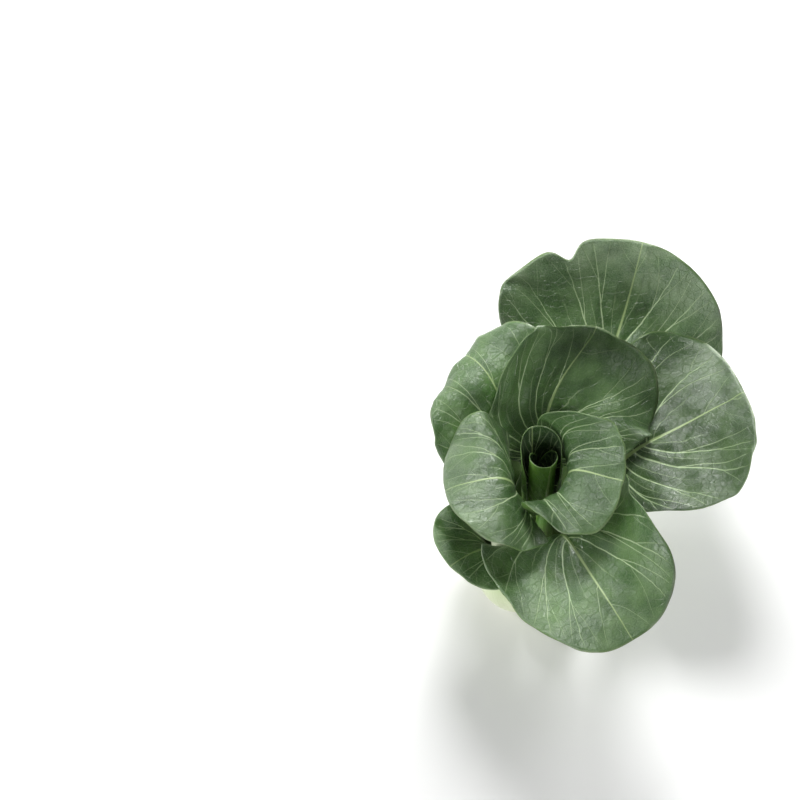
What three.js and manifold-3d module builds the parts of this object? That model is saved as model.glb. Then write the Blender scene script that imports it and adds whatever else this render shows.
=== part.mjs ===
// A whole head of bok choy: a short cut stem with twelve leaves in a spiral round it.
// Every leaf has a broad fleshy pale stalk, which runs on as the midrib of a thin dark green blade.
// Millimetres, +Z up. The origin is the middle of the cut face that the head stands on.

import * as THREE from 'three';
import Module from 'manifold-3d';
import { mergeVertices } from 'three/addons/utils/BufferGeometryUtils.js';

const wasm = await Module();
wasm.setup();

// Driving dimensions
const GAP = 0.3;                   // clearance between neighbouring pieces
const BLADE_THICKNESS = 0.8;
const STALK_THICKNESS = 7.5;       // at the foot, in the middle of its width
const NECK_THICKNESS = 4.2;        // where the stalk meets the blade
const RIB_END_THICKNESS = 1.4;
const NECK_HALF_WIDTH = 6.6;
const RIB_END_HALF_WIDTH = 0.8;
const WING_HALF_WIDTH = 9;         // half width of the blade at its foot, slot included
const FOOT_HALF_WIDTH = 21;        // of a full-grown stalk
const BURIED_LENGTH = 14;          // the stalk runs this far past its foot and is trimmed there
const STALK_SIDES = 8;
const STALK_STEPS = 8;
const SPINE_STEPS = 240;
const SWEEP_START = 0.6;           // share of the stalk where a swept leaf starts to turn
const MARGIN_WAVES = 3;
const NOTCH_PLACE = 0.78;          // share of the way round the outline, from the blade's foot to its tip
const NOTCH_WIDTH = 0.035;
const RIB_REACH = 0.62;            // the midrib narrows over this share of the blade
const RIB_FLARE = 1.6;             // how much wider it is just above the neck than at its end
const ROWS_REACH = 0.86;           // the last row leaves the midrib at this share of the blade
const SLOTTED_SHARE = 0.75;        // share of the rows that leave a slot for the midrib

// The stem narrows upward in a dome: radius and height of its outline
const STEM_OUTLINE = [
  [0, 0], [17, 0], [16.5, 3], [14.5, 8], [12, 13], [9.5, 18], [6.5, 26], [4.5, 33], [0, 36],
];
const STEM_SIDES = 28;

// The leaves from the heart outward. Angles are in degrees, azimuth counts from +X towards +Y.
// lean is the slope above the horizontal at the foot, half-way up the stalk, at its top, and at one
// third, two thirds and the whole of the blade. cup bends each half of the blade towards the heart,
// at its foot, middle and tip; roll tips the blade sideways at its middle and tip, sweep turns it
// round the head. taper above zero makes a half broader near the tip, skew moves width to the right
// half, and roundness below one squares the outline. rows and columns set the mesh.
const ORDINARY_LEAF = {
  footHeight: 0, footHalfWidth: FOOT_HALF_WIDTH, cupLeft: [20, 20, 10], cupRight: [20, 20, 10],
  reflex: [0, 0, 0], roll: [0, 0], sweep: 0, taperLeft: 0, taperRight: 0, skew: 0, roundness: 0.8,
  waveHeight: 1.5, notchDepth: 0, young: false, rows: 12, columns: 6,
};
const LEAVES = [
  { name: '01', azimuth: -64, footRadius: 5, footHeight: 38, footHalfWidth: 8, stalkLength: 53,
    bladeLength: 60, bladeWidth: 45, lean: [89, 91, 92, 91, 91, 90], cupLeft: [175, 168, 156],
    cupRight: [175, 168, 156], taperRight: 0.42, roundness: 0.6, waveHeight: 0.3, young: true,
    columns: 5 },
  { name: '02', azimuth: 116, footRadius: 7, footHeight: 28, footHalfWidth: 13, stalkLength: 58,
    bladeLength: 75, bladeWidth: 50, lean: [80, 84, 86, 85, 84, 83], cupLeft: [129, 129, 117],
    cupRight: [125, 121, 114], roll: [0, -6], taperLeft: 0.1, skew: 0.22, roundness: 0.7,
    waveHeight: 0.4, young: true },
  { name: '03', azimuth: -30, footRadius: 9, footHeight: 20, footHalfWidth: 16, stalkLength: 96,
    bladeLength: 79, bladeWidth: 78, lean: [70, 82, 96, 108, 28, 26], cupLeft: [86, 80, 20],
    cupRight: [115, 76, 4], roll: [18, 30], taperLeft: 0.05, taperRight: 0.5, roundness: 0.92 },
  { name: '04', azimuth: 199, footRadius: 11, footHeight: 15, footHalfWidth: 18, stalkLength: 102,
    bladeLength: 72, bladeWidth: 93, lean: [60, 88, 96, 68, 8, -14], cupLeft: [58, -4, -18],
    cupRight: [42, -8, -20], roll: [0, 28], sweep: -5, taperLeft: 0.1, taperRight: 0.1, roundness: 0.86 },
  { name: '05', azimuth: 90, footRadius: 14, footHeight: 10, stalkLength: 75,
    bladeLength: 104, bladeWidth: 104, lean: [54, 74, 77, 63, 20, 72], cupLeft: [40, 52, 44],
    cupRight: [48, 42, 26], reflex: [0, 20, 40], roll: [28, 48], sweep: -57, taperLeft: 0.22,
    taperRight: 0.22, skew: 0.2, roundness: 0.84 },
  { name: '06', azimuth: -74, footRadius: 16, stalkLength: 103,
    bladeLength: 108, bladeWidth: 104, lean: [60, 84, 93, 24, 8, -16], cupLeft: [3, 60, -16],
    cupRight: [20, 34, 0], roll: [16, -10], sweep: 16, taperLeft: -0.12, taperRight: -0.12, roundness: 0.68 },
  { name: '07', azimuth: 114, footRadius: 18, stalkLength: 78,
    bladeLength: 104, bladeWidth: 94, lean: [50, 75, 72, 85, 40, -55], cupLeft: [20, 6, -10],
    cupRight: [10, -2, 0], roll: [-3, -13], sweep: 16, taperLeft: 0.02, taperRight: 0.09 },
  { name: '08', azimuth: 31, footRadius: 20, stalkLength: 95,
    bladeLength: 98, bladeWidth: 118, lean: [50, 80, 59, 8, 17, 25], cupLeft: [40, 34, -6],
    cupRight: [38, 8, 22], roll: [-3, -14], sweep: -11, taperLeft: 0.36, taperRight: 0.12, roundness: 0.76 },
  { name: '09', azimuth: 219, footRadius: 22, stalkLength: 78, bladeLength: 52, bladeWidth: 66,
    lean: [50, 82, 85, 58, 26, 2], cupLeft: [30, 14, -4], cupRight: [30, 14, -4] },
  { name: '10', azimuth: 156, footRadius: 23, stalkLength: 56, bladeLength: 40, bladeWidth: 44,
    lean: [50, 78, 82, 80, 72, 60], cupLeft: [44, 30, 10], cupRight: [44, 34, 10], columns: 5 },
  { name: '11', azimuth: -18, footRadius: 24, stalkLength: 58, bladeLength: 42, bladeWidth: 48,
    lean: [46, 74, 78, 76, 68, 56], cupLeft: [44, 34, 10], cupRight: [44, 34, 10], columns: 5 },
  { name: '12', azimuth: 65, footRadius: 26, stalkLength: 110,
    bladeLength: 102, bladeWidth: 144, lean: [42, 64, 40, 26, 48, 45], cupLeft: [14, 9, 7],
    cupRight: [0, -15, 0], roll: [9, 6], sweep: 9, taperLeft: -0.1, taperRight: -0.19, skew: -0.08,
    roundness: 0.96, notchDepth: 0.1 },
].map((leaf) => ({ ...ORDINARY_LEAF, ...leaf }));

const stalkMaterial = new THREE.MeshStandardMaterial({ color: 0xc9d8a4, roughness: 0.45, metalness: 0 });
const bladeMaterial = new THREE.MeshStandardMaterial({ color: 0x2f5a2c, roughness: 0.5, metalness: 0 });
const youngMaterial = new THREE.MeshStandardMaterial({ color: 0x3f7a26, roughness: 0.5, metalness: 0 });
const stemMaterial = new THREE.MeshStandardMaterial({ color: 0xe3e6c6, roughness: 0.6, metalness: 0 });

const radians = THREE.MathUtils.degToRad;

// A smooth curve through values at rising stations; each slope is the mean of its two neighbours.
function smoothCurve(stations, values, at) {
  const last = stations.length - 1;
  const s = THREE.MathUtils.clamp(at, stations[0], stations[last]);
  let i = 0;
  while (i < last - 1 && s >= stations[i + 1]) i += 1;
  const rise = (k) => (values[k + 1] - values[k]) / (stations[k + 1] - stations[k]);
  const slope = (k) => {
    if (k === 0) return rise(0);
    if (k === last) return rise(last - 1);
    return (rise(k - 1) + rise(k)) / 2;
  };
  const width = stations[i + 1] - stations[i];
  const t = (s - stations[i]) / width;
  return (2 * t ** 3 - 3 * t ** 2 + 1) * values[i] + (t ** 3 - 2 * t ** 2 + t) * width * slope(i)
    + (3 * t ** 2 - 2 * t ** 3) * values[i + 1] + (t ** 3 - t ** 2) * width * slope(i + 1);
}

// The line that a leaf follows from its foot to its tip, with its directions at each place:
// along it, across it to the left, and up out of its face.
function makeSpine(leaf) {
  const { stalkLength: stalk, bladeLength: blade } = leaf;
  const length = stalk + blade;
  const stations = [0, stalk / 2, stalk, stalk + blade / 3, stalk + 2 * blade / 3, length];
  const rollStations = [0, stalk, stalk + blade / 2, length];
  const turnStart = SWEEP_START * stalk;
  const places = [];
  const foot = radians(leaf.azimuth);
  const position = new THREE.Vector3(
    leaf.footRadius * Math.cos(foot), leaf.footRadius * Math.sin(foot), leaf.footHeight);
  for (let i = 0; i <= SPINE_STEPS; i += 1) {
    const s = length * i / SPINE_STEPS;
    const lean = radians(smoothCurve(stations, leaf.lean, s));
    const turned = THREE.MathUtils.clamp((s - turnStart) / (length - turnStart), 0, 1);
    const heading = radians(leaf.azimuth + leaf.sweep * turned ** 1.5);
    const roll = radians(smoothCurve(rollStations, [0, 0, ...leaf.roll], s));
    const along = new THREE.Vector3(
      Math.cos(lean) * Math.cos(heading), Math.cos(lean) * Math.sin(heading), Math.sin(lean));
    const across = new THREE.Vector3(-Math.sin(heading), Math.cos(heading), 0);
    const up = new THREE.Vector3().crossVectors(along, across);
    across.applyAxisAngle(along, roll);
    up.applyAxisAngle(along, roll);
    if (i > 0) {
      const middle = places[i - 1].along.clone().add(along).multiplyScalar(length / SPINE_STEPS / 2);
      position.add(middle);
    }
    places.push({ position: position.clone(), along, across, up });
  }
  return { places, length };
}

// The spine's position and directions at a length s from the foot.
function spineAt(spine, s) {
  const exact = THREE.MathUtils.clamp(s / spine.length, 0, 1) * SPINE_STEPS;
  const i = Math.min(Math.floor(exact), SPINE_STEPS - 1);
  const a = spine.places[i];
  const b = spine.places[i + 1];
  const blend = (key) => a[key].clone().lerp(b[key], exact - i);
  const place = { position: blend('position'), across: blend('across'), up: blend('up') };
  if (s < 0) place.position.addScaledVector(a.along, s);
  return place;
}

// How far a share q of the blade's length, from 0 to 1, is bent by values at its foot, middle and tip.
function alongBlade(values, q) {
  return smoothCurve([0, 0.5, 1], values, q);
}

// Inner leaves have a smaller foot, and their neck and wing shrink with it, though less.
function smallness(leaf) {
  return Math.min(1, leaf.footHalfWidth / FOOT_HALF_WIDTH + 0.25);
}

// Half width and height of the flat blade's outline at a share p of the way round it.
function outlinePoint(leaf, p, left) {
  const turn = Math.PI * p;
  const taper = left ? leaf.taperLeft : leaf.taperRight;
  const half = leaf.bladeWidth / 2 * (1 + (left ? -leaf.skew : leaf.skew));
  const wing = WING_HALF_WIDTH * smallness(leaf);
  const notch = left ? leaf.notchDepth * Math.exp(-(((p - NOTCH_PLACE) / NOTCH_WIDTH) ** 2)) : 0;
  const x = half * Math.sin(turn) ** leaf.roundness * (1 - taper * Math.cos(turn)) * (1 - notch)
    + wing * (1 - p) ** 3;
  return [x, leaf.bladeLength * (1 - Math.cos(turn)) / 2 * (1 - notch)];
}

// Half width of the midrib at a length y up the blade.
function ribHalfWidth(leaf, y) {
  const ahead = THREE.MathUtils.clamp(1 - y / (RIB_REACH * leaf.bladeLength), 0, 1);
  const neck = NECK_HALF_WIDTH * smallness(leaf);
  const slim = RIB_END_HALF_WIDTH + RIB_FLARE * ahead;
  return slim + (neck - RIB_END_HALF_WIDTH - RIB_FLARE) * ahead ** 6;
}

// A blade's rows below this one leave a slot for the midrib, and each row starts at this height.
function slottedRows(leaf) {
  return Math.round(SLOTTED_SHARE * leaf.rows);
}
function ribHeight(leaf, row) {
  return ROWS_REACH * leaf.bladeLength * (row / leaf.rows) ** 1.15;
}

// Where a point of the flat blade, x across and y along, goes once the blade is cupped and waved.
// Across the blade its slope grows with the distance from the midrib, so its height and reach are
// the mean sine and cosine of the slope, taken here at five places.
const PLACES = [0.0469, 0.2308, 0.5, 0.7692, 0.9531];
const SHARES = [0.1185, 0.2393, 0.2844, 0.2393, 0.1185];
function bladePoint(leaf, spine, x, y) {
  const place = spineAt(spine, leaf.stalkLength + y);
  const q = THREE.MathUtils.clamp(y / leaf.bladeLength, 0, 1);
  const cup = radians(alongBlade(x > 0 ? leaf.cupLeft : leaf.cupRight, q));
  const reflex = radians(alongBlade(leaf.reflex, q));
  const side = x < 0 ? -1 : 1;
  const share = Math.abs(x) / (leaf.bladeWidth / 2);
  const slopeAt = (part) => cup * part - reflex * part ** 4;
  const slopes = PLACES.map((part) => slopeAt(share * part));
  const reach = slopes.reduce((sum, slope, k) => sum + SHARES[k] * Math.cos(slope), 0);
  const height = slopes.reduce((sum, slope, k) => sum + SHARES[k] * Math.sin(slope), 0);
  const slope = slopeAt(share);
  const phase = 2 * Math.PI * MARGIN_WAVES * q + side * 1.3;
  const wave = leaf.waveHeight * Math.min(share, 1.2) ** 2.5 * Math.sin(phase);
  return place.position
    .addScaledVector(place.across, x * reach - side * Math.sin(slope) * wave)
    .addScaledVector(place.up, Math.abs(x) * height + Math.cos(slope) * wave);
}

// A blade as an open sheet. Its rows follow the side veins: each leaves the midrib and sweeps
// forward to the margin. In its lower rows the two halves stay apart, and the midrib lies in the
// slot between them.
function bladeSheet(leaf, spine) {
  const { rows, columns } = leaf;
  const positions = [];
  const index = [];
  for (const side of [1, -1]) {
    const first = positions.length / 3;
    for (let i = 0; i <= rows; i += 1) {
      const t = i / rows;
      const [xMargin, yMargin] = outlinePoint(leaf, t ** 0.9, side > 0);
      const yRib = ribHeight(leaf, i);
      const slot = i < slottedRows(leaf) ? ribHalfWidth(leaf, yRib) + GAP : 0;
      for (let j = 0; j <= columns; j += 1) {
        const v = j / columns;
        const x = side * (slot + Math.max(0, xMargin - slot) * v ** 0.92);
        const y = yRib + (yMargin - yRib) * v ** 1.25;
        positions.push(...bladePoint(leaf, spine, x, y).toArray());
      }
    }
    for (let i = 0; i < rows; i += 1) {
      for (let j = 0; j < columns; j += 1) {
        const a = first + i * (columns + 1) + j;
        const b = a + columns + 1;
        const corners = [a, a + 1, b + 1, a, b + 1, b];
        if (side > 0) corners.reverse();
        index.push(...corners);
      }
    }
  }
  const sheet = new THREE.BufferGeometry();
  sheet.setAttribute('position', new THREE.Float32BufferAttribute(positions, 3));
  sheet.setIndex(index);
  const welded = mergeVertices(sheet, 1e-3);
  welded.computeVertexNormals();
  return welded;
}

// Gives an open sheet its thickness. Both faces have the same triangles, and a wall closes them.
function thicken(sheet, thickness) {
  const position = sheet.getAttribute('position');
  const normal = sheet.getAttribute('normal');
  const count = position.count;
  const points = [];
  for (const side of [0.5, -0.5]) {
    for (let i = 0; i < count; i += 1) {
      const point = new THREE.Vector3().fromBufferAttribute(position, i);
      point.addScaledVector(new THREE.Vector3().fromBufferAttribute(normal, i), side * thickness);
      points.push(...point.toArray());
    }
  }
  const source = sheet.index.array;
  const index = [];
  const edges = new Set();
  for (let i = 0; i < source.length; i += 3) {
    const [a, b, c] = source.slice(i, i + 3);
    index.push(a, b, c, c + count, b + count, a + count);
    edges.add(`${a},${b}`).add(`${b},${c}`).add(`${c},${a}`);
  }
  for (const edge of edges) {
    const [a, b] = edge.split(',').map(Number);
    if (!edges.has(`${b},${a}`)) index.push(b, a, a + count, b, a + count, b + count);
  }
  const body = new THREE.BufferGeometry();
  body.setAttribute('position', new THREE.Float32BufferAttribute(points, 3));
  body.setIndex(index);
  return body;
}

// A stalk with its midrib: crescent sections along the spine, wide and thick at the foot, hollow
// towards the heart. grow makes it fatter all round, to cut its neighbours clear of it.
function stalkBody(leaf, spine, grow) {
  const size = leaf.footHalfWidth / FOOT_HALF_WIDTH;
  const neckThickness = NECK_THICKNESS * smallness(leaf);
  const ribRows = slottedRows(leaf) - 1;
  const ribEnd = ribHeight(leaf, ribRows);
  const neck = ribHalfWidth(leaf, 0);
  const stations = [-BURIED_LENGTH * size - 2 * grow];
  for (let i = 0; i <= STALK_STEPS; i += 1) stations.push(leaf.stalkLength * i / STALK_STEPS);
  for (let i = 1; i <= ribRows; i += 1) stations.push(leaf.stalkLength + ribHeight(leaf, i));
  const positions = [];
  for (const s of stations) {
    const y = Math.max(0, s - leaf.stalkLength);
    const up = THREE.MathUtils.clamp(s / leaf.stalkLength, 0, 1);
    const foot = 1 - up ** 1.7;
    const half = s > leaf.stalkLength ? ribHalfWidth(leaf, y) : neck + (leaf.footHalfWidth - neck) * foot;
    const thickness = (y > 0
      ? THREE.MathUtils.lerp(neckThickness, RIB_END_THICKNESS, (y / ribEnd) ** 0.6)
      : THREE.MathUtils.lerp(neckThickness, STALK_THICKNESS * Math.min(1, size + 0.1), 1 - up)) + grow;
    const cup = radians(alongBlade(leaf.cupLeft, y / leaf.bladeLength)
      + alongBlade(leaf.cupRight, y / leaf.bladeLength)) / leaf.bladeWidth;
    const hollow = THREE.MathUtils.lerp(cup, 1 / (leaf.footRadius + 8), 1 - up) / 2;
    const place = spineAt(spine, s);
    for (let k = 0; k < STALK_SIDES; k += 1) {
      const turn = 2 * Math.PI * (k + 0.5) / STALK_SIDES;
      const share = Math.cos(turn) / Math.cos(Math.PI / STALK_SIDES);
      const x = half * share;
      const rise = (Math.sin(turn) > 0 ? BLADE_THICKNESS / 2 + grow : thickness) * Math.sin(turn);
      const tilt = Math.atan(2 * hollow * x);
      const point = place.position.clone()
        .addScaledVector(place.across, x + grow * share * Math.cos(tilt) - rise * Math.sin(tilt))
        .addScaledVector(place.up, hollow * x * x + grow * share * Math.sin(tilt) + rise * Math.cos(tilt));
      positions.push(...point.toArray());
    }
  }
  const index = [];
  const last = stations.length - 1;
  for (let i = 0; i < last; i += 1) {
    for (let k = 0; k < STALK_SIDES; k += 1) {
      const a = i * STALK_SIDES + k;
      const b = i * STALK_SIDES + (k + 1) % STALK_SIDES;
      index.push(a, b + STALK_SIDES, b, a, a + STALK_SIDES, b + STALK_SIDES);
    }
  }
  for (let k = 0; k < STALK_SIDES / 2 - 1; k += 1) {
    const [a, b, c, d] = [k, k + 1, STALK_SIDES - 2 - k, STALK_SIDES - 1 - k];
    index.push(a, b, c, a, c, d);
    index.push(...[a, c, b, a, d, c].map((corner) => corner + last * STALK_SIDES));
  }
  const body = new THREE.BufferGeometry();
  body.setAttribute('position', new THREE.Float32BufferAttribute(positions, 3));
  body.setIndex(index);
  return body;
}

// The stem's dome, fatter by grow.
function stemBody(grow) {
  const outline = STEM_OUTLINE.map(([radius, height]) => new THREE.Vector2(
    radius > 0 ? radius + grow : 0,
    height > 0 ? height + grow : -grow,
  ));
  return new THREE.LatheGeometry(outline, STEM_SIDES).rotateX(Math.PI / 2);
}

// A closed mesh as a solid for joining and cutting, and back.
function toSolid(geometry) {
  const bare = geometry.clone();
  bare.deleteAttribute('normal');
  bare.deleteAttribute('uv');
  const merged = mergeVertices(bare, 1e-4);
  const vertProperties = Float32Array.from(merged.getAttribute('position').array);
  const triVerts = Uint32Array.from(merged.index.array);
  return new wasm.Manifold(new wasm.Mesh({ numProp: 3, vertProperties, triVerts }));
}
function toGeometry(solid) {
  const mesh = solid.getMesh();
  const geometry = new THREE.BufferGeometry();
  geometry.setAttribute('position', new THREE.Float32BufferAttribute(mesh.vertProperties, 3));
  geometry.setIndex(Array.from(mesh.triVerts));
  return geometry;
}

// Every body's faces point out: a mesh with a negative volume has its triangles turned round.
function facingOut(geometry) {
  const position = geometry.getAttribute('position');
  const index = geometry.index.array;
  const [a, b, c] = [new THREE.Vector3(), new THREE.Vector3(), new THREE.Vector3()];
  let volume = 0;
  for (let i = 0; i < index.length; i += 3) {
    a.fromBufferAttribute(position, index[i]);
    b.fromBufferAttribute(position, index[i + 1]);
    c.fromBufferAttribute(position, index[i + 2]);
    volume += a.dot(b.cross(c));
  }
  if (volume < 0) geometry.setIndex(Array.from(index).reverse());
  return geometry;
}

function addPiece(group, name, geometry, material) {
  const mesh = new THREE.Mesh(geometry, material);
  mesh.name = name;
  group.add(mesh);
}

// Stalks are trimmed from the heart outward: by the ground, by the stem and by every stalk inside them.
const head = new THREE.Group();
const ground = toSolid(new THREE.BoxGeometry(200, 200, 60).translate(0, 0, -30));
const cutters = [toSolid(facingOut(stemBody(GAP)))];
addPiece(head, 'stem', facingOut(stemBody(0)), stemMaterial);
for (const leaf of LEAVES) {
  const spine = makeSpine(leaf);
  const untrimmed = toSolid(facingOut(stalkBody(leaf, spine, 0)));
  const stalk = cutters.reduce((body, cutter) => body.subtract(cutter), untrimmed.subtract(ground));
  const largest = stalk.decompose().sort((a, b) => b.volume() - a.volume())[0];
  cutters.push(toSolid(facingOut(stalkBody(leaf, spine, 1.5 * GAP))));
  const blade = facingOut(thicken(bladeSheet(leaf, spine), BLADE_THICKNESS));
  addPiece(head, `stalk_${leaf.name}`, toGeometry(largest), stalkMaterial);
  addPiece(head, `blade_${leaf.name}`, blade, leaf.young ? youngMaterial : bladeMaterial);
}

export default head;
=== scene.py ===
import math

import bpy
import numpy as np
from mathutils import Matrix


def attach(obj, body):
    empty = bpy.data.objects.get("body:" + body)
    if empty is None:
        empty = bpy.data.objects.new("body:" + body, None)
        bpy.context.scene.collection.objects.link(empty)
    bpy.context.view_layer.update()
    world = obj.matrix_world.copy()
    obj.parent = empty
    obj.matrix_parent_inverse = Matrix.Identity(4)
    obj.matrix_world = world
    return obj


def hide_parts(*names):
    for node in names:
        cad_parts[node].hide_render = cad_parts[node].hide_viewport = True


# The view. The camera looks down on the head at sixty degrees from a good way off, so the leaves
# keep their proportions.
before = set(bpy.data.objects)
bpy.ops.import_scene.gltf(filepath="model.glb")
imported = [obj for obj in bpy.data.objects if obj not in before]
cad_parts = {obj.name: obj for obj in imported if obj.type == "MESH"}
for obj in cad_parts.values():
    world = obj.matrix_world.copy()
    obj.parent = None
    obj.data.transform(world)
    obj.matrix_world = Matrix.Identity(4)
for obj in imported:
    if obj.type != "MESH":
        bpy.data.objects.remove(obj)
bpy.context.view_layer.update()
camera = bpy.data.objects.new("camera", bpy.data.cameras.new("camera"))
bpy.context.scene.collection.objects.link(camera)
bpy.context.scene.camera = camera
camera.data.lens = 90
camera.data.sensor_width = 36
camera.data.clip_end = 20
camera.location = (-0.08645, -0.5532, 1.1817)
camera.rotation_euler = (math.radians(30), 0, 0)
bpy.context.scene.view_settings.view_transform = "Standard"

# The studio. One soft round panel hangs high above the head and gives the waxy leaves their broad
# pale sheen. Three lower ones, behind, at the left and in front, bring out the folds, and the pale
# surroundings light the rest.
surroundings = bpy.data.worlds.new("surroundings")
bpy.context.scene.world = surroundings
surroundings.use_nodes = True
background = surroundings.node_tree.nodes["Background"]
background.inputs["Color"].default_value = (1, 1, 1, 1)
background.inputs["Strength"].default_value = 0.22
AMONG_THE_LEAVES = np.array([0.02, 0.0, 0.1])
for panel_name, place, width, watts in (
    ("overhead", (-0.1, 0.75, 1.4), 0.5, 17),
    ("back", (0.6, 1.4, 0.5), 0.6, 20),
    ("left", (-1.3, 0.5, 0.5), 0.5, 10),
    ("front", (-0.2, -1.45, 0.55), 0.5, 13),
):
    panel = bpy.data.objects.new(panel_name, bpy.data.lights.new(panel_name, "AREA"))
    bpy.context.scene.collection.objects.link(panel)
    panel.data.shape = "DISK"
    panel.data.size = width
    panel.data.energy = watts
    panel.location = place
    aim = AMONG_THE_LEAVES - np.array(place)
    tilt = math.atan2(math.hypot(aim[0], aim[1]), -aim[2])
    panel.rotation_euler = (tilt, 0, math.atan2(-aim[0], aim[1]))

# The floor. A wide sheet of plain pale board, level with the cut face.
BOARD_HALF = 3
board = bpy.data.meshes.new("floor")
board_corners = [(BOARD_HALF * x, BOARD_HALF * y, 0) for x, y in ((-1, -1), (1, -1), (1, 1), (-1, 1))]
board.from_pydata(board_corners, [], [(0, 1, 2, 3)])
floor = bpy.data.objects.new("floor", board)
bpy.context.scene.collection.objects.link(floor)
paint = bpy.data.materials.new("pale_board")
paint.use_nodes = True
paint.node_tree.nodes["Principled BSDF"].inputs["Base Color"].default_value = (0.9, 0.9, 0.9, 1)
paint.node_tree.nodes["Principled BSDF"].inputs["Roughness"].default_value = 0.9
board.materials.append(paint)


# The stem. The short dome that every stalk grows from, sliced across below. The cut shows pale
# watery flesh with a ring of strands, a little browned where it has dried at the rim.
class Value:
    """A socket in a finish. Python's arithmetic on it adds Math nodes."""

    def __init__(self, finish, socket):
        self.finish = finish
        self.socket = socket

    def maths(self, operation, *others):
        return self.finish.node(
            "ShaderNodeMath", {"operation": operation}, dict(enumerate(others))
        )

    def __add__(self, other):
        return self.maths("ADD", self, other)

    def __sub__(self, other):
        return self.maths("SUBTRACT", self, other)

    def __rsub__(self, other):
        return self.maths("SUBTRACT", other, self)

    def __mul__(self, other):
        return self.maths("MULTIPLY", self, other)

    def __truediv__(self, other):
        return self.maths("DIVIDE", self, other)

    def __rtruediv__(self, other):
        return self.maths("DIVIDE", other, self)

    def __pow__(self, other):
        return self.maths("POWER", self, other)

    def __abs__(self):
        return self.maths("ABSOLUTE", self)

    __radd__ = __add__
    __rmul__ = __mul__

    def least(self, other):
        return self.maths("MINIMUM", self, other)

    def most(self, other):
        return self.maths("MAXIMUM", self, other)

    def floor(self):
        return self.maths("FLOOR", self)

    def step(self, low, high):
        """Rises smoothly from 0 at low to 1 at high, or falls where low is the larger."""
        if not isinstance(low, Value) and low > high:
            return 1 - self.step(high, low)
        return self.finish.node(
            "ShaderNodeMapRange",
            {"interpolation_type": "SMOOTHSTEP"},
            {"Value": self, "From Min": low, "From Max": high},
        )


class Finish:
    """A surface finish: a material, its shader and the nodes that feed it."""

    def __init__(self, name, **fixed):
        self.material = bpy.data.materials.new(name)
        self.material.use_nodes = True
        self.tree = self.material.node_tree
        self.shader = self.tree.nodes["Principled BSDF"]
        for socket, value in fixed.items():
            self.shader.inputs[socket.replace("_", " ")].default_value = value

    def node(self, kind, settings=None, sockets=None, out=0):
        """Adds a node, sets it, fills its sockets with values or links, and returns an output."""
        made = self.tree.nodes.new(kind)
        for key, value in (settings or {}).items():
            setattr(made, key, value)
        for key, value in (sockets or {}).items():
            if isinstance(value, Value):
                self.tree.links.new(value.socket, made.inputs[key])
            else:
                made.inputs[key].default_value = value
        return Value(self, made.outputs[out])

    def blend(self, share, first, second):
        """The first colour, turning into the second as the share goes from 0 to 1."""
        picked = [
            colour if isinstance(colour, Value) else (*colour, 1) for colour in (first, second)
        ]
        return self.node(
            "ShaderNodeMix",
            {"data_type": "RGBA"},
            {0: share, 6: picked[0], 7: picked[1]},
            out=2,
        )

    def noise(self, scale, detail=2.0, roughness=0.5, where=None):
        """Noise with the given number of blobs a metre, or a unit of where."""
        place = where or self.node("ShaderNodeTexCoord", out="Object")
        return self.node(
            "ShaderNodeTexNoise",
            {},
            {"Vector": place, "Scale": scale, "Detail": detail, "Roughness": roughness},
        )

    def relief(self, strength, depth, height):
        """Normals of a surface that rises by the depth, in metres, where the height is 1."""
        return self.node(
            "ShaderNodeBump", {}, {"Strength": strength, "Distance": depth, "Height": height}
        )

    def feed(self, **links):
        for socket, value in links.items():
            self.tree.links.new(value.socket, self.shader.inputs[socket.replace("_", " ")])
        return self.material


def cut_flesh_finish():
    """Pale flesh, with its strands in a ring 9.5 to 13.5 mm from the middle, and dried spots that
    close up towards the rim."""
    pith, strand_green, dried_brown = (0.72, 0.76, 0.5), (0.42, 0.52, 0.2), (0.36, 0.25, 0.11)
    cut = Finish("cut_flesh", Roughness=0.5)
    spot = cut.node("ShaderNodeTexCoord", out="Object")
    x = cut.node("ShaderNodeSeparateXYZ", {}, {0: spot}, out=0)
    y = cut.node("ShaderNodeSeparateXYZ", {}, {0: spot}, out=1)
    millimetres = (x * x + y * y) ** 0.5 * 1000 + cut.noise(160) * 3
    ring = millimetres.step(9.5, 11.0) * millimetres.step(13.5, 12.0)
    cells = cut.node(
        "ShaderNodeTexVoronoi", {}, {"Vector": spot, "Scale": 700.0}, out="Distance"
    )
    strands = cells.step(0.38, 0.2)
    dried = millimetres.step(14.0, 18.5) + cut.noise(260, 4).step(0.55, 0.8) * 0.35
    colour = cut.blend(ring * 0.5 + ring * strands * 0.5, pith, strand_green)
    colour = cut.blend(dried.least(1.0) * 0.6, colour, dried_brown)
    relief = cut.relief(0.5, 0.0006, cut.noise(900, 3) + ring * strands)
    return cut.feed(Base_Color=colour, Normal=relief)


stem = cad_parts["stem"]
stem.data.materials.clear()
stem.data.materials.append(cut_flesh_finish())

# The leaves, from the heart outward. Each is one fleshy stalk, crescent in section, that runs on as
# the midrib of a thin puckered blade; each grows from the stem and wraps those inside it.

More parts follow.
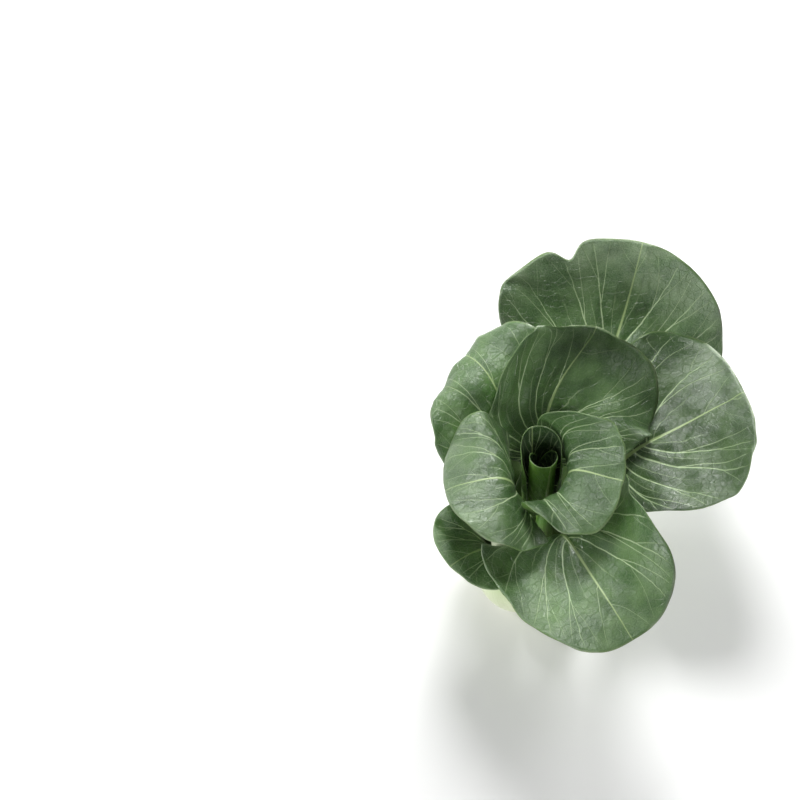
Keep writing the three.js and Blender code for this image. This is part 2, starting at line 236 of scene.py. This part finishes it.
# What the table of leaves gives, in millimetres and degrees. A leaf's left is the left of someone
# who looks at its upper face with its tip upwards.
#   azimuth   the direction in which it grows from the stem, from +X towards +Y
#   foot, foot_height, foot_half   its foot's place out from the axis and up, and half its width
#   stalk, blade, width   the stalk's length, and the blade's length and full width
#   lean      its slope above the horizontal, at the foot, half-way up the stalk, at its top, and at
#             one third, two thirds and the whole of the blade
#   cup_left, cup_right   how far each half bends up over the face, at foot, middle and tip of blade
#   reflex    how far the margins bend back from that, at the same three places
#   roll      how far the face turns about the midrib, left half up, at middle and tip of the blade
#   sweep     how far the midrib turns aside, up to the tip
#   taper_left, taper_right   shares by which each half is narrower at the foot than at the tip
#   skew      the share by which the left half is narrower than the right one
#   roundness   the outline's power: a plain oval is 1, and a fuller, squarer one less
#   notch     depth of the notch in the left margin, as a share of the blade
#   wave, frill, pucker   heights of the margin's long and short waves, and of the swellings
#   veins, reach   side veins in each half, and the share of the midrib that they leave it from
#   strong_left, strong_right   how far up each half its strongest vein is, below 0 for none
#   young     1 in the yellow-green heart, 0 in the full green leaves
#   green, bloom   brightness of the green, low in the heart as painted shade, and how much pale wax and painted sheen lie on it
ORDINARY_LEAF = {
    "foot_height": 0, "foot_half": 21, "cup_left": (20, 20, 10), "cup_right": (20, 20, 10),
    "reflex": (0, 0, 0), "roll": (0, 0), "sweep": 0, "taper_left": 0, "taper_right": 0,
    "skew": 0, "roundness": 0.8, "wave": 1.5, "notch": 0, "pucker": 0.9, "frill": 0.8,
    "veins": 6, "reach": 0.4, "strong_left": -1, "strong_right": -1,
    "young": 0, "green": 1, "wax_and_sheen": 0.3,
}  # fmt: skip
LEAVES = {
    "01": {"azimuth": -64, "foot": 5, "foot_height": 38, "foot_half": 8, "stalk": 53,
           "blade": 60, "width": 45, "lean": (89, 91, 92, 91, 91, 90),
           "cup_left": (175, 168, 156), "cup_right": (175, 168, 156), "taper_right": 0.42,
           "roundness": 0.6, "wave": 0.3, "pucker": 0.25, "frill": 0.2, "veins": 5,
           "young": 1.0, "green": 0.35, "wax_and_sheen": 0},
    "02": {"azimuth": 116, "foot": 7, "foot_height": 28, "foot_half": 13, "stalk": 58,
           "blade": 75, "width": 50, "lean": (80, 84, 86, 85, 84, 83),
           "cup_left": (129, 129, 117), "cup_right": (125, 121, 114), "roll": (0, -6),
           "taper_left": 0.1, "skew": 0.22, "roundness": 0.7, "wave": 0.4, "pucker": 0.3,
           "frill": 0.2, "young": 0.7, "green": 0.35, "wax_and_sheen": 0},
    "03": {"azimuth": -30, "foot": 9, "foot_height": 20, "foot_half": 16, "stalk": 96,
           "blade": 79, "width": 78, "lean": (70, 82, 96, 108, 28, 26),
           "cup_left": (86, 80, 20), "cup_right": (115, 76, 4), "roll": (18, 30),
           "taper_left": 0.05, "taper_right": 0.5, "roundness": 0.92, "reach": 0.3,
           "young": 0.35, "green": 0.7, "wax_and_sheen": 0.35},
    "04": {"azimuth": 199, "foot": 11, "foot_height": 15, "foot_half": 18, "stalk": 102,
           "blade": 72, "width": 93, "lean": (60, 88, 96, 68, 8, -14),
           "cup_left": (58, -4, -18), "cup_right": (42, -8, -20), "roll": (0, 28), "sweep": -5,
           "taper_left": 0.1, "taper_right": 0.1, "roundness": 0.86, "reach": 0.28,
           "young": 0.1, "green": 0.8, "wax_and_sheen": 0.4},
    "05": {"azimuth": 90, "foot": 14, "foot_height": 10, "stalk": 75,
           "blade": 104, "width": 104, "lean": (54, 74, 77, 63, 20, 72),
           "cup_left": (40, 52, 44), "cup_right": (48, 42, 26), "reflex": (0, 20, 40),
           "roll": (28, 48), "sweep": -57, "taper_left": 0.22, "taper_right": 0.22,
           "skew": 0.2, "roundness": 0.84, "strong_right": 0.3, "strong_left": 0.35,
           "green": 0.85},
    "06": {"azimuth": -74, "foot": 16, "stalk": 103,
           "blade": 108, "width": 104, "lean": (60, 84, 93, 24, 8, -16),
           "cup_left": (3, 60, -16), "cup_right": (20, 34, 0), "roll": (16, -10), "sweep": 16,
           "taper_left": -0.12, "taper_right": -0.12, "roundness": 0.68, "strong_left": 0.3,
           "wax_and_sheen": 0.4},
    "07": {"azimuth": 114, "foot": 18, "stalk": 78,
           "blade": 104, "width": 94, "lean": (50, 75, 72, 85, 40, -55),
           "cup_left": (20, 6, -10), "cup_right": (10, -2, 0), "roll": (-3, -13),
           "sweep": 16, "taper_left": 0.02, "taper_right": 0.09, "pucker": 1.3},
    "08": {"azimuth": 31, "foot": 20, "stalk": 95,
           "blade": 98, "width": 118, "lean": (50, 80, 59, 8, 17, 25),
           "cup_left": (40, 34, -6), "cup_right": (38, 8, 22), "roll": (-3, -14),
           "sweep": -11, "taper_left": 0.36, "taper_right": 0.12, "roundness": 0.76,
           "strong_right": 0.3, "green": 0.6, "wax_and_sheen": 0.15},
    "09": {"azimuth": 219, "foot": 22, "stalk": 78, "blade": 52, "width": 66,
           "lean": (50, 82, 85, 58, 26, 2), "cup_left": (30, 14, -4), "cup_right": (30, 14, -4)},
    "10": {"azimuth": 156, "foot": 23, "stalk": 56, "blade": 40, "width": 44,
           "lean": (50, 78, 82, 80, 72, 60), "cup_left": (44, 30, 10), "cup_right": (44, 34, 10)},
    "11": {"azimuth": -18, "foot": 24, "stalk": 58, "blade": 42, "width": 48,
           "lean": (46, 74, 78, 76, 68, 56), "cup_left": (44, 34, 10), "cup_right": (44, 34, 10)},
    "12": {"azimuth": 65, "foot": 26, "stalk": 110,
           "blade": 102, "width": 144, "lean": (42, 64, 40, 26, 48, 45),
           "cup_left": (14, 9, 7), "cup_right": (0, -15, 0), "roll": (9, 6), "sweep": 9,
           "taper_left": -0.1, "taper_right": -0.19, "skew": -0.08, "roundness": 0.96,
           "notch": 0.1, "veins": 7, "wax_and_sheen": 0.9},
}  # fmt: skip

# A full-grown leaf's flesh: half its width at the foot and at the neck, where the blade starts, its
# depth at both, and how far its thin edge flares out at the neck. Half the blade's thickness, and
# how much of each stalk is trimmed level.
FULL_FOOT_HALF = 21
NECK_HALF = 6.6
FOOT_DEPTH = 7.5
NECK_DEPTH = 4.2
NECK_FLARE = 2.4
SKIN = 0.3
TRIMMED = 26

# The notch's place up the margin and its half length, as shares; and the counts of each leaf's grid.
NOTCH_PLACE = 0.78
NOTCH_LENGTH = 0.035
SPINE_STEPS = 240
STALK_ROWS = 46
BLADE_ROWS = 116
HALF_COLUMNS = 52


def curve_through(stations, values, at):
    """A cubic through the values, whose slope at each is the mean of its two neighbours'."""
    x = np.asarray(stations, float)
    y = np.asarray(values, float)
    rise = np.diff(y) / np.diff(x)
    slope = np.concatenate([rise[:1], (rise[1:] + rise[:-1]) / 2, rise[-1:]])
    at = np.clip(at, x[0], x[-1])
    i = np.clip(np.searchsorted(x, at, side="right") - 1, 0, len(x) - 2)
    wide = x[i + 1] - x[i]
    t = (at - x[i]) / wide
    return (
        (2 * t**3 - 3 * t**2 + 1) * y[i]
        + (t**3 - 2 * t**2 + t) * wide * slope[i]
        + (3 * t**2 - 2 * t**3) * y[i + 1]
        + (t**3 - t**2) * wide * slope[i + 1]
    )


def plumpness(leaf):
    """The size of a leaf's fleshy parts against a full-grown leaf's: it grows with the foot."""
    return min(1, leaf["foot_half"] / FULL_FOOT_HALF + 0.25)


def stalk_half(leaf, up):
    """Half the stalk's width at a share of its length: it narrows ever faster up to the neck."""
    neck = NECK_HALF * plumpness(leaf)
    return neck + (leaf["foot_half"] - neck) * (1 - up**1.7)


def spine_of(leaf):
    """Lengths along a leaf, and at each its place and its three directions: along, left and up
    out of its face. The place is the sum of the direction along, step by step."""
    stalk, blade = leaf["stalk"], leaf["blade"]
    length = stalk + blade
    straight = 0.6 * stalk
    s = np.linspace(0, length, SPINE_STEPS + 1)
    marks = [0, stalk / 2, stalk, stalk + blade / 3, stalk + 2 * blade / 3, length]
    lean = np.radians(curve_through(marks, leaf["lean"], s))
    turned = np.clip((s - straight) / (length - straight), 0, 1)
    heading = np.radians(leaf["azimuth"] + leaf["sweep"] * turned**1.5)
    roll = curve_through([0, stalk, stalk + blade / 2, length], [0, 0, *leaf["roll"]], s)
    roll = np.radians(roll)[:, None]
    along = np.stack(
        [np.cos(lean) * np.cos(heading), np.cos(lean) * np.sin(heading), np.sin(lean)], -1
    )
    level = np.stack([-np.sin(heading), np.cos(heading), 0 * heading], -1)
    out = np.cross(along, level)
    left = level * np.cos(roll) + out * np.sin(roll)
    up = out * np.cos(roll) - level * np.sin(roll)
    foot = math.radians(leaf["azimuth"])
    start = leaf["foot"] * np.array([math.cos(foot), math.sin(foot), 0])
    start[2] = leaf["foot_height"]
    steps = (along[1:] + along[:-1]) / 2 * np.diff(s)[:, None]
    place = np.concatenate([start[None], start + np.cumsum(steps, 0)])
    return {"s": s, "place": place, "along": along, "left": left, "up": up}


def rows_and_columns(leaf):
    """The flat leaf as a grid: each point's place, x to the left and y up from the blade's foot, its
    rank, which goes from -1 to 0 up the stalk and to 1 up the blade, and its share v of the way out.
    Up the stalk the rows run straight across. In the blade each row is a side vein's path: it leaves
    the midrib at y_rib and bows forward to the margin, which is an oval's arc from foot to tip."""
    g = np.linspace(-1, 1, 2 * HALF_COLUMNS + 1)
    v = np.sign(g) * np.abs(g) ** 1.3
    size = plumpness(leaf)
    up = np.linspace(0, 1, STALK_ROWS + 1)[:-1, None]
    flare = NECK_FLARE * size * np.clip(up * 4 - 3, 0, 1) ** 2
    stalk_x = (stalk_half(leaf, up) + flare) * np.sign(v) * np.abs(v) ** 0.92
    stalk_y = (up - 1) * leaf["stalk"] + 0 * v
    t = np.linspace(0, 1, BLADE_ROWS + 1)[:, None]
    p = t**0.78
    turn = math.pi * p
    taper = np.where(v > 0, leaf["taper_left"], leaf["taper_right"])
    wide = leaf["width"] / 2 * (1 - np.sign(v) * leaf["skew"])
    notch = leaf["notch"] * np.exp(-(((p - NOTCH_PLACE) / NOTCH_LENGTH) ** 2)) * (v > 0)
    x_margin = wide * np.sin(turn).clip(0) ** leaf["roundness"] * (1 - taper * np.cos(turn))
    x_margin = x_margin * (1 - notch) + (NECK_HALF + NECK_FLARE) * size * (1 - p) ** 3
    y_margin = leaf["blade"] * (1 - np.cos(turn)) / 2 * (1 - notch)
    y_rib = leaf["reach"] * leaf["blade"] * t**1.5
    bow = 0.1 * np.clip(5 * t, 0, 1)
    blade_x = x_margin * np.sign(v) * np.abs(v) ** (0.92 - bow)
    blade_y = y_rib + (y_margin - y_rib) * np.abs(v) ** (1.12 + 1.5 * bow)
    x = np.concatenate([stalk_x, blade_x])
    y = np.concatenate([stalk_y, blade_y])
    rank = np.concatenate([up - 1 + 0 * v, t + 0 * v])
    return x, y, rank, np.broadcast_to(v, x.shape)


def curl(leaf, spine, x, y):
    """Where the flat leaf's points go, and the way their face looks. The slope across the leaf
    grows with the distance from its middle. The way out and the way up are its mean cosine and
    sine over that distance, from five places along it, each with its weight."""
    s = y + leaf["stalk"]
    place, left, up = (
        np.stack([np.interp(s, spine["s"], spine[part][:, k]) for k in range(3)], -1)
        for part in ("place", "left", "up")
    )
    share = np.clip(y / leaf["blade"], 0, 1)
    cup = np.where(
        x > 0,
        curve_through([0, 0.5, 1], leaf["cup_left"], share),
        curve_through([0, 0.5, 1], leaf["cup_right"], share),
    )
    climb = np.clip(s / leaf["stalk"], 0, 1)
    bend = np.radians(cup) / (leaf["width"] / 2)
    bend = bend * climb + (1 - climb) / (leaf["foot"] + 8)
    away = np.abs(x)
    outer = away / (leaf["width"] / 2)
    reflex = np.radians(curve_through([0, 0.5, 1], leaf["reflex"], share))
    places = (0.0469, 0.2308, 0.5, 0.7692, 0.9531)
    weights = (0.1185, 0.2393, 0.2844, 0.2393, 0.1185)
    reach, height = 0, 0
    for part, weight in zip(places, weights):
        slope = bend * away * part - reflex * (outer * part) ** 4
        reach = reach + weight * np.cos(slope)
        height = height + weight * np.sin(slope)
    side = np.where(x < 0, -1.0, 1.0)
    slope = bend * away - reflex * outer**4
    facing = up * np.cos(slope)[..., None] - left * (side * np.sin(slope))[..., None]
    wave = leaf["wave"] * np.minimum(outer, 1.2) ** 2.5
    wave = wave * np.sin(6 * math.pi * share + side * 1.3) * (y >= 0)
    moved = place + left * (x * reach)[..., None] + up * (away * height)[..., None]
    return moved + facing * wave[..., None], facing


def ripples(x, y, wavelength, seed):
    """Uneven gentle waves, about one unit high: sines of random direction and phase, averaged."""
    count = 7
    random = np.random.default_rng(seed)
    total = 0
    draws = random.uniform([0, 0, 0.7], [math.pi, 2 * math.pi, 1.5], (count, 3))
    for angle, phase, stretch in draws:
        pace = 2 * math.pi / (wavelength * stretch)
        total = total + np.sin((x * math.cos(angle) + y * math.sin(angle)) * pace + phase)
    return total / math.sqrt(count)


def vein_numbers(leaf, rank, v, seed):
    """How many side veins lie below each point, in steps made uneven by four sines. A vein runs
    where the number is a whole one and a half."""
    random = np.random.default_rng(40 + seed)
    phases = random.uniform(0, 2 * math.pi, (2, 3))
    side = np.where(v > 0, 0, 1)
    t = np.clip(rank, 0, 1)
    number = (leaf["veins"] - 0.6) * t**0.92
    for k, (amount, pace) in enumerate(((0.13, 1.7), (0.045, 3.1), (0.012, 5.3))):
        number = number + amount * np.sin(2 * math.pi * pace * t + phases[side, k])
    return number + 0.05 * np.sin(6 * np.abs(v) + 4 * t + phases[side, 0])


def swelling(leaf, x, y, v, rank, number, seed):
    """How far the blade swells: it domes between the veins and ripples in three sizes, fading at
    the stalk and the midrib, and its margin waves."""
    between = np.sin(math.pi * (number - 0.5)) ** 2
    fade = np.clip(y / 14 + 0.1, 0, 1) * np.clip(np.abs(x) / 5, 0, 1)
    domes = leaf["pucker"] * between**0.7 * fade * (1 - 0.6 * np.abs(v) ** 3)
    swell = domes * (1 + 0.5 * ripples(x, y, 17, seed + 5))
    swell = swell + 0.8 * leaf["pucker"] * fade * ripples(x, y, 34, seed + 11)
    swell = swell + 0.16 * leaf["pucker"] * fade * ripples(x, y, 7, seed + 23)
    return swell + leaf["frill"] * (rank >= 0) * np.abs(v) ** 7 * ripples(x, y, 19, seed + 17)


def rib_ahead(leaf, y):
    """How much of the midrib lies ahead of a point: 1 at the blade's foot, 0 just short of its tip."""
    return 1 - np.clip(y / (0.95 * leaf["blade"]), 0, 1)


def on_margin(v):
    return np.abs(v) > 0.9999


def thickness(leaf, x, y, v, rank):
    """How far the upper and the lower face lie from the middle surface, and half the flesh's width.
    The blade is thin and its edge sharp. Under it lies the flesh, with a round belly whose width and
    depth shrink up the stalk and run out along the midrib, which has a channel above."""
    size = plumpness(leaf)
    neck_depth = NECK_DEPTH * size
    foot_depth = FOOT_DEPTH * min(1, leaf["foot_half"] / FULL_FOOT_HALF + 0.1)
    inside = rank >= 0
    climb = np.clip(rank + 1, 0, 1)
    ahead = rib_ahead(leaf, y)
    rib_half = 0.35 + 1.5 * ahead + (NECK_HALF * size - 1.85) * ahead**9
    flesh_half = np.where(inside, rib_half, stalk_half(leaf, climb))
    depth = np.where(
        inside,
        0.25 + (neck_depth - 0.25) * ahead**2.2,
        foot_depth + (neck_depth - foot_depth) * climb,
    )
    flesh = np.sqrt(np.clip(1 - (np.abs(x) / flesh_half) ** 2.4, 0, 1)) * depth
    skin = np.where(inside, SKIN * np.clip((1 - np.abs(v)) / 0.03, 0, 1) ** 0.5, SKIN)
    skin = np.where(on_margin(v), 0, skin)
    flesh = np.where(on_margin(v), 0, flesh)
    channel = 0.35 * np.exp(-((x / (0.7 * flesh_half)) ** 2)) * inside
    return skin - channel, skin + flesh, flesh_half


def around(grid, flip):
    """A grid's values at the four corners of each of its squares, in order round the square."""
    corners = [grid[:-1, :-1], grid[:-1, 1:], grid[1:, 1:], grid[1:, :-1]]
    return np.stack(corners[::-1] if flip else corners, 2)


def leaf_mesh(name, leaf):
    """A closed leaf: the grid's upper face, its lower face a thickness away, sharing the margin,
    and a strip that closes the foot."""
    seed = int(name)
    x, y, rank, v = rows_and_columns(leaf)
    spine = spine_of(leaf)
    number = vein_numbers(leaf, rank, v, seed)
    place, facing = curl(leaf, spine, x, y)
    place = place + facing * swelling(leaf, x, y, v, rank, number, seed)[..., None]
    above, below, flesh_half = thickness(leaf, x, y, v, rank)
    upper = place + facing * above[..., None]
    lower = place - facing * below[..., None]

    # The foot is sliced level: what is near it slides along the stalk until its first row lies at
    # the foot's height.
    start = spine["along"][0]
    for face in (upper, lower):
        drop = (leaf["foot_height"] - face[0, :, 2]) / start[2]
        near = np.clip(1 - (rank[:, :1] + 1) * leaf["stalk"] / TRIMMED, 0, 1)
        face += near[..., None] * drop[None, :, None] * start

    # Both faces in one array of places. The lower face shares the upper one's margin, and in the
    # last row, which is a line doubled at the tip, the right half shares the left one's places.
    rows, columns = x.shape
    top = np.arange(rows * columns).reshape(rows, columns)
    under = top + rows * columns
    for index in (top, under):
        index[-1, HALF_COLUMNS + 1 :] = index[-1, HALF_COLUMNS - 1 :: -1]
    under[:, 0] = top[:, 0]
    under[:, -1] = top[:, -1]
    strip = np.stack([top[0, :-1], under[0, :-1], under[0, 1:], top[0, 1:]], -1)
    squares = np.concatenate(
        [around(top, True).reshape(-1, 4), around(under, False).reshape(-1, 4), strip]
    )
    used, squares = np.unique(squares, return_inverse=True)
    squares = squares.reshape(-1, 4)

    # The strip's first and last squares are triangles, since the margin is shared there.
    first, last = -len(strip), -1
    kept_corners = np.ones(squares.shape, bool)
    kept_corners[first, 1] = False
    kept_corners[last, 3] = False
    faces = squares.tolist()
    for end in (first, last):
        faces[end] = squares[end][kept_corners[end]].tolist()
    places = np.concatenate([upper.reshape(-1, 3), lower.reshape(-1, 3)])
    mesh = bpy.data.meshes.new(f"leaf_{name}")
    mesh.from_pydata((places[used] / 1000).tolist(), [], faces)

    # What the finish reads at each face's corners: the vein number and the share of the way out;
    # the distance between whole vein numbers, and the rank; and the place on the flat leaf.
    spread_x, spread_y = np.gradient(x, axis=0), np.gradient(y, axis=0)
    along_x, along_y = np.gradient(x, axis=1), np.gradient(y, axis=1)
    gap = np.abs(spread_x * along_y - spread_y * along_x) / np.hypot(along_x, along_y)
    gap = gap / np.maximum(np.abs(np.gradient(number, axis=0)), 1e-4)
    gap = np.clip(np.where(rank >= 0, gap, 8), 0.05, 60)
    for label, pair in (("veins", (number, v)), ("spacing", (gap, rank)), ("flat", (x, y))):
        values = np.stack(pair, -1)
        strip_values = values[0, :-1], values[0, :-1], values[0, 1:], values[0, 1:]
        corners = np.concatenate(
            [
                around(values, True).reshape(-1, 4, 2),
                around(values, False).reshape(-1, 4, 2),
                np.stack(strip_values, 1),
            ]
        )
        layer = mesh.uv_layers.new(name=label)
        layer.data.foreach_set("uv", corners[kept_corners].astype(np.float32).ravel())

    # And at each point: how far inside the pale flesh it lies, and 1 on the lower face. Above,
    # the pale midrib is thinner than the flesh below it.
    ahead = rib_ahead(leaf, y)
    seen_half = 0.25 + 1.2 * ahead**1.3 + (NECK_HALF * plumpness(leaf) - 1.45) * ahead**20
    pale_above = np.where(rank >= 0, seen_half, flesh_half) - np.abs(x)
    for label, on_upper, on_lower in (
        ("pale", pale_above, flesh_half - np.abs(x)),
        ("under", 0.5 * on_margin(v), 1 - 0.5 * on_margin(v)),
    ):
        values = np.concatenate([on_upper.ravel(), on_lower.ravel()])[used].astype(np.float32)
        mesh.attributes.new(label, "FLOAT", "POINT").data.foreach_set("value", values)
    mesh.shade_smooth()
    return mesh


def line(distance, half):
    """1 on a vein of the given half width, falling to 0 across its soft side."""
    soft = 0.12
    return (distance / (half + soft)).step(1.05, 0.35)


def side_veins(skin, leaf, seed, number, gap, rank, v, flat):
    """How much of a vein shows at a point, and how near it is to a main one. Each vein has its own
    number, from which come its strength and where it forks: a branch leaves it part of the way
    out, later a twig on the other side, and a short vein starts half-way to the next."""
    out = abs(v)
    left = v.step(-0.001, 0.001)
    whole = number.floor()
    place = number - whole - 0.5

    def chance(offset):
        return skin.node(
            "ShaderNodeTexWhiteNoise",
            {"noise_dimensions": "1D"},
            {"W": whole + left * 31.0 + (seed * 7.3 + offset)},
        )

    # Where they run, as offsets in vein numbers: main veins stray a little to either side of their
    # number, and what forks off ends spread out towards the neighbours.
    first, second, third = chance(0.1), chance(0.37), chance(0.71)
    wander = (skin.noise(0.09, 2, where=flat) - 0.5) * 0.12
    off = (first - 0.5) * 0.2 + wander
    way = second.step(0.49, 0.51) * 2 - 1
    spread = 0.44
    fork = 0.3 + third * 0.3
    grown = ((out - fork) / (1 - fork)).most(0.0)
    branch = off + way * grown**0.8 * (spread - way * off)
    late = 0.62 + first * 0.2
    grown_late = ((out - late) / (1 - late)).most(0.0)
    twig = off - way * grown_late**0.8 * (spread + way * off)

    # How wide they are, in millimetres: a main vein thins towards the margin, and the strongest
    # one of each half is nearly twice as wide.
    main_half = 0.56
    strongest = leaf["strong_right"] + left * (leaf["strong_left"] - leaf["strong_right"])
    boost = 1 + abs(rank - strongest).step(0.07, 0.02) * 0.9
    half = (1 - out * 0.6) * (0.75 + second * 0.5) * boost * main_half
    main = line(abs(place - off) * gap, half)
    branches = line(abs(place - branch) * gap, half * 0.62) * out.step(fork - 0.03, fork + 0.03)
    twigs = line(abs(place - twig) * gap, half * 0.5) * out.step(late - 0.03, late + 0.03)
    short = line((0.5 - abs(place - wander * 2)) * gap, 0.25) * out.step(0.7, 0.4) * 0.35
    veins = main.most(branches * 0.85).most(twigs * 0.75).most(short)
    veins = veins * (0.45 + out.step(0.95, 0.35) * 0.55) * out.step(1.0, 0.9)
    halo = (abs(place - off) * gap).step(3.2, 0.3) * out.step(1.0, 0.6)
    return veins, halo


def fine_net(skin, flat):
    """The net of finest veins: the edges of cells 5 mm and 2 mm wide, bent by noise."""
    bending = skin.node(
        "ShaderNodeTexNoise", {}, {"Vector": flat, "Scale": 0.25, "Detail": 2.0}, out="Color"
    )
    bent = skin.node("ShaderNodeVectorMath", {"operation": "ADD"}, {0: flat, 1: bending})

    def edges(cells_a_millimetre):
        return skin.node(
            "ShaderNodeTexVoronoi",
            {"feature": "DISTANCE_TO_EDGE", "voronoi_dimensions": "2D"},
            {"Vector": bent, "Scale": cells_a_millimetre},
        )

    coarse, fine = edges(0.2), edges(0.55)
    return coarse.step(0.05, 0.0) * 0.75 + fine.step(0.07, 0.0) * 0.25


def leaf_finish(name, leaf):
    """Waxy green blade with forking pale veins, and the pale juicy flesh of stalk and midrib."""
    skin = Finish(f"leaf_{name}", IOR=1.5, Specular_IOR_Level=1.0, Sheen_Weight=0.05)
    young = leaf["young"]
    # The green's brightness is partly painted shade: it is lowest, 0.35, in the two heart leaves.
    tone = leaf["green"]

    def part(label, which):
        pair = skin.node("ShaderNodeUVMap", {"uv_map": label})
        return skin.node("ShaderNodeSeparateXYZ", {}, {0: pair}, out=which)

    number, v = part("veins", 0), part("veins", 1)
    gap, rank = part("spacing", 0), part("spacing", 1)
    y = part("flat", 1)
    flat = skin.node("ShaderNodeUVMap", {"uv_map": "flat"})
    pale = skin.node("ShaderNodeAttribute", {"attribute_name": "pale"}, out="Fac")
    under = skin.node("ShaderNodeAttribute", {"attribute_name": "under"}, out="Fac")
    out = abs(v)
    in_blade = y.step(-1.0, 2.0)
    veins, halo = side_veins(skin, leaf, int(name), number, gap, rank, v, flat)
    veins = veins * in_blade
    halo = halo * in_blade
    net = fine_net(skin, flat)

    # The blade's upper face: mottled green under patches of pale wax that are partly painted sheen,
    # with painted shade making it darker down in the heart.
    deep_green = (0.020 * tone, 0.080 * tone, 0.009 * tone)
    light_green = ((0.080 - 0.04 * young) * tone, 0.200 * tone, (0.022 - 0.008 * young) * tone)
    wax_sheen_grey, painted_shade_green, halo_green = (0.3, 0.38, 0.25), (0.006, 0.028, 0.004), (0.06, 0.15, 0.03)
    net_green, vein_green = (0.13, 0.24, 0.06), (0.56, 0.71, 0.4)
    mottle = skin.noise(0.05, 3, where=flat)
    speckle = skin.noise(1.1, 3, 0.6, where=flat)
    lightness = mottle.step(0.35, 0.68) * 0.6 + speckle.step(0.3, 0.7) * 0.4
    patchy = mottle.step(0.35, 0.7) * 0.6 + speckle.step(0.3, 0.75) * 0.6
    # The pale grey patches are partly the leaf's own wax and partly painted sheen, strongest towards
    # the margin and the tip.
    wax_and_sheen = (out**2 * 0.8 + 0.2) * patchy * (0.4 + rank * 0.6) * leaf["wax_and_sheen"]
    upper = skin.blend(lightness, deep_green, light_green)
    upper = skin.blend(wax_and_sheen.least(1.0), upper, wax_sheen_grey)
    # Painted shade: darker green down the blade's lower half and into the heart.
    upper = skin.blend(rank.step(0.5, -0.1) * 0.85, upper, painted_shade_green)
    upper = skin.blend(halo * 0.3, upper, halo_green)
    upper = skin.blend(net * 0.4, upper, net_green)
    upper = skin.blend(veins * 0.9, upper, vein_green)

    # Its lower face: duller and paler, yellower in the young leaves. Both meet in a pale rim.
    dull_green = (0.10 + 0.03 * young, 0.2 + 0.14 * young, 0.06 - 0.04 * young)
    dusty_green = (0.16 + 0.07 * young, 0.28 + 0.22 * young, 0.09 - 0.06 * young)
    low_net_green, low_vein_green = (0.26, 0.38, 0.16), (0.45, 0.57, 0.28)
    rim_green = (0.3, 0.42, 0.16)
    lower = skin.blend(mottle, dull_green, dusty_green)
    lower = skin.blend(net * 0.35, lower, low_net_green)
    lower = skin.blend(veins * 0.8, lower, low_vein_green)
    colour = skin.blend(under * 0.9, upper, lower)
    rim = out.step(0.985, 0.998) * in_blade
    colour = skin.blend(rim * 0.4, colour, rim_green)

    # The flesh: jade that whitens to the foot outside, with long threads, greener and darker in the
    # young leaves, partly their own colour and partly painted shade. The face inside, towards the
    # heart, is painted shade: dark green that deepens up to the neck.
    foot_jade = (0.74 - 0.3 * young, 0.78 - 0.2 * young, 0.58 - 0.36 * young)
    neck_jade = (0.4 - 0.3 * young, 0.56 - 0.26 * young, 0.2 - 0.17 * young)
    shaded_inner_foot, shaded_inner_neck = (0.3, 0.42, 0.16), (0.06, 0.13, 0.025)
    thread_green, rib_green = (0.5, 0.62, 0.3), (0.46, 0.6, 0.26)
    drawn_out = skin.node("ShaderNodeMapping", {}, {"Vector": flat, "Scale": (1.0, 0.02, 1.0)})
    threads = skin.noise(1.4, 3.0, where=drawn_out)
    climb = (rank + 1).least(1.0).most(0.0)
    shaded_inner = skin.blend(climb.step(0.0, 0.5), shaded_inner_foot, shaded_inner_neck)
    outer = skin.blend(climb**1.4, foot_jade, neck_jade)
    jade = skin.blend(under.step(0.3, 0.7), shaded_inner, outer)
    jade = skin.blend(threads.step(0.45, 0.7) * under * 0.35, jade, thread_green)
    jade = skin.blend(y.step(-4.0, 12.0) * 0.85, jade, rib_green)
    flesh = (pale + (skin.noise(0.8, 2, where=flat) - 0.5) * 0.3).step(-0.35, 0.45)
    colour = skin.blend(flesh, colour, jade)

    # Relief and gloss: veins and net are sunk in the upper face and stand out below.
    pores = skin.noise(2.6, 3, 0.6, where=flat)
    creases = skin.noise(0.35, 4, 0.55, where=flat)
    sunk = 1 - under * 2
    height = creases * 0.9 + pores * 0.35 - (veins * 0.5 + net * 0.6) * sunk * (1 - flesh)
    relief = skin.relief(0.8, 0.0007, height + threads * flesh * 0.5)
    rough = 0.22 + creases * 0.14 + pores * 0.06 + under * 0.1 + flesh * 0.05
    return skin.feed(Base_Color=colour, Roughness=rough, Normal=relief)


for name, special in LEAVES.items():
    leaf = {**ORDINARY_LEAF, **special}
    piece = bpy.data.objects.new(f"leaf_{name}", leaf_mesh(name, leaf))
    bpy.context.scene.collection.objects.link(piece)
    piece.data.materials.append(leaf_finish(name, leaf))
    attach(piece, "root")
    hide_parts(f"stalk_{name}", f"blade_{name}")
